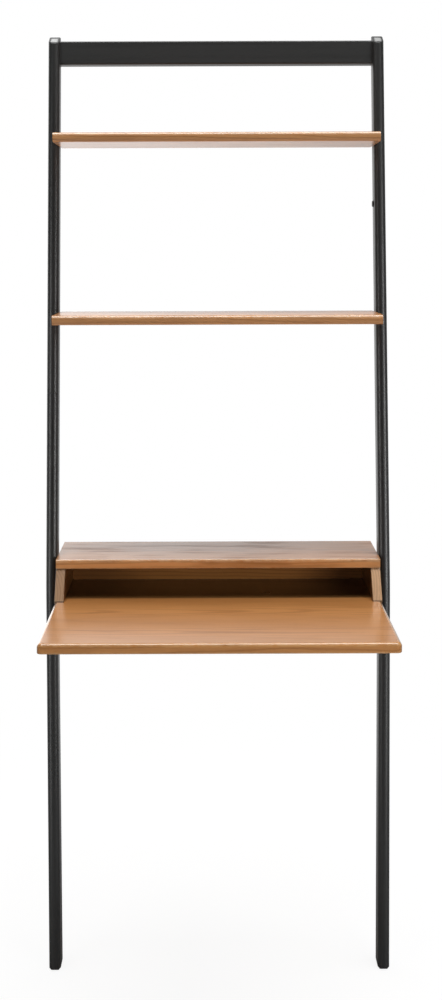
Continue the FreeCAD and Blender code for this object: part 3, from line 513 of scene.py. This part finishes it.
STAINS = {}
for count, side in enumerate(("left", "right")):
    STAINS[f"upper_rail_{side}"] = charcoal_stain(
        f"charcoal_upper_{side}", "ZYX", UPPER_LEAN, UPPER_SEED + count, wear_and_sheen=crown_highlight_patch)
    STAINS[f"leg_{side}"] = charcoal_stain(
        f"charcoal_leg_{side}", "ZYX", LEG_LEAN, LEG_SEED + count)
STAINS["top_crossbar"] = charcoal_stain(
    "charcoal_crossbar", "XZY", 0.0, CROSSBAR_SEED, CROSSBAR_ASH)
for node, stain in STAINS.items():
    finish_node(node, stain)


# ---------------------------------------------------------------- steel, nylon, rubber, dowels

ZINC_DULL, ZINC_BRIGHT = (0.50, 0.50, 0.49), (0.68, 0.68, 0.65)
BEECH, PALE_BEECH, BEECH_FLECK = (0.56, 0.40, 0.25), (0.72, 0.56, 0.38), (0.33, 0.20, 0.11)
BEECH_FLECKS = (0.60, 0.70)


def zinc_plate(name):
    """Bright zinc plating on turned steel, with fine tool lines and a faint bloom."""
    material, tree = new_finish(name)
    x, y, z = tree.coordinates().values()
    bloom = tree.noise(x, y, z, detail=3.0, scale=260.0)
    lines = tree.noise(x * 300.0, y * 2600.0, z * 2600.0, detail=2.0)
    colour = tree.mix(bloom, ZINC_DULL, ZINC_BRIGHT)
    tree.principled(colour, 0.24 + bloom * 0.16, tree.bump(lines, 0.02 * MM), {"Metallic": 1.0})
    return material


def speckled(name, dark, light, roughness, pebble, relief, cloud_rate=70.0):
    """A dark skin with a fine pebble: moulded plastic or rubber, or powder coat."""
    material, tree = new_finish(name)
    x, y, z = tree.coordinates().values()
    bumps = tree.noise(x, y, z, detail=2.0, scale=pebble)
    cloud = tree.noise(x, y, z, detail=3.0, scale=cloud_rate)
    tree.principled(tree.mix(cloud, dark, light), roughness + cloud * 0.12,
                    tree.bump(bumps, relief))
    return material


def beech(name):
    """Plain unfinished beech: pale, with short brown flecks."""
    material, tree = new_finish(name)
    x, y, z = tree.coordinates().values()
    streak = tree.noise(x * 900.0, y * 900.0, z * 60.0, detail=3.0)
    spots = tree.noise(x * 1500.0, y * 1500.0, z * 220.0, detail=1.0)
    fleck = tree.step(spots, *BEECH_FLECKS)
    colour = tree.mix(fleck * 0.5, tree.mix(streak, BEECH, PALE_BEECH), BEECH_FLECK)
    tree.principled(colour, 0.62 + streak * 0.1, tree.bump(streak - fleck * 0.5, 0.05 * MM))
    return material


ZINC = zinc_plate("zinc_plate")
POWDER = speckled("black_powder_coat", (0.016, 0.016, 0.017), (0.028, 0.028, 0.029),
                  roughness=0.46, pebble=900.0, relief=0.05 * MM, cloud_rate=40.0)
NYLON = speckled("black_nylon", (0.014, 0.014, 0.014), (0.024, 0.024, 0.024),
                 roughness=0.44, pebble=1400.0, relief=0.03 * MM)
RUBBER = speckled("black_rubber", (0.015, 0.015, 0.015), (0.030, 0.029, 0.028),
                  roughness=0.72, pebble=700.0, relief=0.08 * MM)
STUD = speckled("dark_stud", (0.012, 0.012, 0.012), (0.022, 0.021, 0.021),
                roughness=0.22, pebble=500.0, relief=0.01 * MM)
DOWEL = beech("pale_dowel_beech")

for node in NODES:
    if node.endswith(("_connectors", "_screws")):
        finish_node(node, ZINC)
    elif node.startswith(("desk_bracket", "wall_bracket")):
        finish_node(node, POWDER)
    elif node.startswith("foot_glide"):
        finish_node(node, NYLON)
    elif node.startswith("wall_bumper"):
        finish_node(node, RUBBER)
    elif node.endswith("_dowels"):
        finish_node(node, DOWEL)
    elif node == "rail_stud":
        finish_node(node, STUD)


# ---------------------------------------------------------------- white sweep

WHITE = (1.0, 1.0, 1.0, 1.0)
SWEEP_BEGINS, SWEEP_WHOLE = 0.25, 0.75
ROOM_REFLECTED = 0.06
ROOM_LIGHT, SWEEP_LIGHT = 0.08, 0.92
FLOOR_REACH = 14.0
FLOOR_WHITE = 0.72
FLOOR_MIRRORED = 0.50
FLOOR_LIGHT = 0.70
FLOOR_GLOW_BEGINS, FLOOR_GLOW_WHOLE = 0.4, 2.4
SHADE_SHARE = 0.15
SHADE_FADES, SHADE_GONE = 0.7, 1.9
BACKDROP_BEHIND = 2.2
BACKDROP_HALF = 2.8
BACKDROP_GLOW = 2.0


def studio_world():
    """White to the camera. Finishes reflect a bright sweep behind the desk and a dark room in
    front of it."""
    world = bpy.data.worlds.new("sweep")
    bpy.context.scene.world = world
    tree = Tree(world, "ShaderNodeOutputWorld")
    towards = tree.add("TexCoord", output="Generated")
    back = tree.add("SeparateXYZ", sockets={"Vector": towards}, output="Y")
    behind = tree.step(back, SWEEP_BEGINS, SWEEP_WHOLE)
    reflected = ROOM_REFLECTED + (1.0 - ROOM_REFLECTED) * behind
    received = ROOM_LIGHT + (SWEEP_LIGHT - ROOM_LIGHT) * behind
    glossy = tree.add("LightPath", output="Is Glossy Ray")
    seen = tree.add("LightPath", output="Is Camera Ray")
    lit = received + (reflected - received) * glossy
    level = seen + (1.0 - seen) * lit
    tree.surface(tree.add("Background", sockets={"Color": WHITE, "Strength": level}))


def stage_sheet(name, material, matrix, size):
    """A square sheet of the studio, placed by a matrix."""
    sheet = bmesh.new()
    bmesh.ops.create_grid(sheet, x_segments=1, y_segments=1, size=size, matrix=matrix)
    mesh = bpy.data.meshes.new(name)
    sheet.to_mesh(mesh)
    sheet.free()
    mesh.materials.append(material)
    thing = bpy.data.objects.new(name, mesh)
    bpy.context.scene.collection.objects.link(thing)
    return thing


def white_floor():
    """Pale floor that stays white to the camera but keeps the desk's shadow near it."""
    material, tree = new_finish("sweep_floor")
    x, y, _ = tree.coordinates().values()
    away = tree.maths("SQRT", x * x + y * y)
    seen = tree.add("LightPath", output="Is Camera Ray")
    glossy = tree.add("LightPath", output="Is Glossy Ray")
    tone = FLOOR_WHITE * (1.0 - (1.0 - FLOOR_MIRRORED) * glossy)
    plain = tree.add("BsdfDiffuse", sockets={"Color": tree.vector(tone, tone, tone)})
    white = tree.add("Emission", sockets={"Strength": 1.0})
    plain = tree.mix_shaders(tree.step(y, FLOOR_GLOW_BEGINS, FLOOR_GLOW_WHOLE), plain, white)
    shade = tree.add("BsdfDiffuse", sockets={"Color": (SHADE_SHARE, SHADE_SHARE, SHADE_SHARE, 1.0)})
    lift = tree.add("Emission", sockets={"Strength": 1.0 - FLOOR_LIGHT * SHADE_SHARE})
    near = tree.add("AddShader", sockets={0: shade, 1: lift})
    shown = tree.mix_shaders(tree.step(away, SHADE_FADES, SHADE_GONE), near, white)
    tree.surface(tree.mix_shaders(seen, plain, shown))
    stage_sheet("sweep_floor", material, Matrix.Identity(4), FLOOR_REACH)


def glowing_backdrop():
    """The part of the sweep that stands behind the desk, brighter to the left, which only the
    finishes' reflections show."""
    material, tree = new_finish("sweep_backdrop")
    leftward = tree.fade(tree.coordinates()["X"], -BACKDROP_HALF, BACKDROP_HALF)
    tree.surface(tree.add("Emission", sockets={"Strength": BACKDROP_GLOW * leftward}))
    standing = Matrix.Rotation(math.pi / 2, 4, "X")
    upright = Matrix.Translation((0.0, BACKDROP_BEHIND, BACKDROP_HALF)) @ standing
    backdrop = stage_sheet("sweep_backdrop", material, upright, BACKDROP_HALF)
    backdrop.visible_camera = False
    backdrop.visible_diffuse = False
    backdrop.visible_shadow = False


studio_world()
white_floor()
glowing_backdrop()


# ---------------------------------------------------------------- lamps

OVERHEAD_PLACE = (0.275, -0.28, 4.2)
OVERHEAD_SIZE = (3.58, 1.525)
OVERHEAD_POWER = 120.0

# Place and power of the two low fills in front.
FILLS = {"front_left_softbox": ((-1.55, -1.9, 0.95), 4.5),
         "front_right_softbox": ((1.1, -1.75, 0.95), 9.0)}
FILL_AIM = (0.0, 0.0, 0.85)
FILL_SIZE = (0.8, 0.45)

# Side and power of the tall strips. A low strip stands nearer on each side, for the legs.
STRIPS = {"left_strip": (-1.0, 21.8), "right_strip": (1.0, 39.0)}
STRIP_AZIMUTH = math.radians(54.0)
STRIP_REACH = 2.6
STRIP_HEIGHT = 1.26
STRIP_AIM = (0.0, 0.1, 1.25)
STRIP_SIZE = (0.45, 1.72)
LOW_STRIP_PLACE = (0.98, -0.51, 0.40)
LOW_STRIP_AIM = (0.0, 0.1, 0.40)
LOW_STRIP_SIZE = (0.25, 0.80)
LOW_STRIP_POWER = 1.7


def softbox(name, place, aim, size, power):
    """A rectangular area light at a place, facing a point."""
    light = bpy.data.lights.new(name, "AREA")
    light.shape = "RECTANGLE"
    light.size, light.size_y = size
    light.energy = power
    lamp = bpy.data.objects.new(name, light)
    bpy.context.scene.collection.objects.link(lamp)
    lamp.location = place
    lamp.rotation_mode = "QUATERNION"
    lamp.rotation_quaternion = (Vector(aim) - Vector(place)).to_track_quat("-Z", "Y")
    lamp.visible_camera = False
    return lamp


def strip_lamp(name, place, aim, size, power):
    """A softbox that only the stained wood reflects, as if flags stood beside it."""
    lamp = softbox(name, place, aim, size, power)
    lamp.visible_diffuse = False
    lit = bpy.data.collections.new(name + "_lights")
    for node in STAINS:
        lit.objects.link(NODES[node])
    lamp.light_linking.receiver_collection = lit


softbox("overhead_softbox", OVERHEAD_PLACE, (*OVERHEAD_PLACE[:2], 0.0), OVERHEAD_SIZE,
        OVERHEAD_POWER)
for name, (place, power) in FILLS.items():
    fill = softbox(name, place, FILL_AIM, FILL_SIZE, power)
    fill.visible_glossy = False
for name, (way, power) in STRIPS.items():
    out = way * STRIP_REACH * math.sin(STRIP_AZIMUTH)
    ahead = -STRIP_REACH * math.cos(STRIP_AZIMUTH)
    strip_lamp(name, (out, ahead, STRIP_HEIGHT), STRIP_AIM, STRIP_SIZE, power)
    beside, before, height = LOW_STRIP_PLACE
    strip_lamp(name + "_low", (way * beside, before, height), LOW_STRIP_AIM, LOW_STRIP_SIZE,
               LOW_STRIP_POWER)


# ---------------------------------------------------------------- camera

EYE = (-0.0148, -2.8818, 1.3986)
PITCH = math.radians(90.0 - 4.34)
ROLL = -0.00341
LENS = 56.57
SENSOR = 36.0
SHIFT = (0.01138, -0.13328)

view = bpy.data.cameras.new("view")
view.lens = LENS
view.sensor_width = SENSOR
view.shift_x, view.shift_y = SHIFT
camera = bpy.data.objects.new("view", view)
bpy.context.scene.collection.objects.link(camera)
camera.matrix_world = (Matrix.Translation(EYE) @ Matrix.Rotation(PITCH, 4, "X")
                       @ Matrix.Rotation(ROLL, 4, "Z"))
bpy.context.scene.camera = camera
bpy.context.scene.view_settings.view_transform = "Standard"
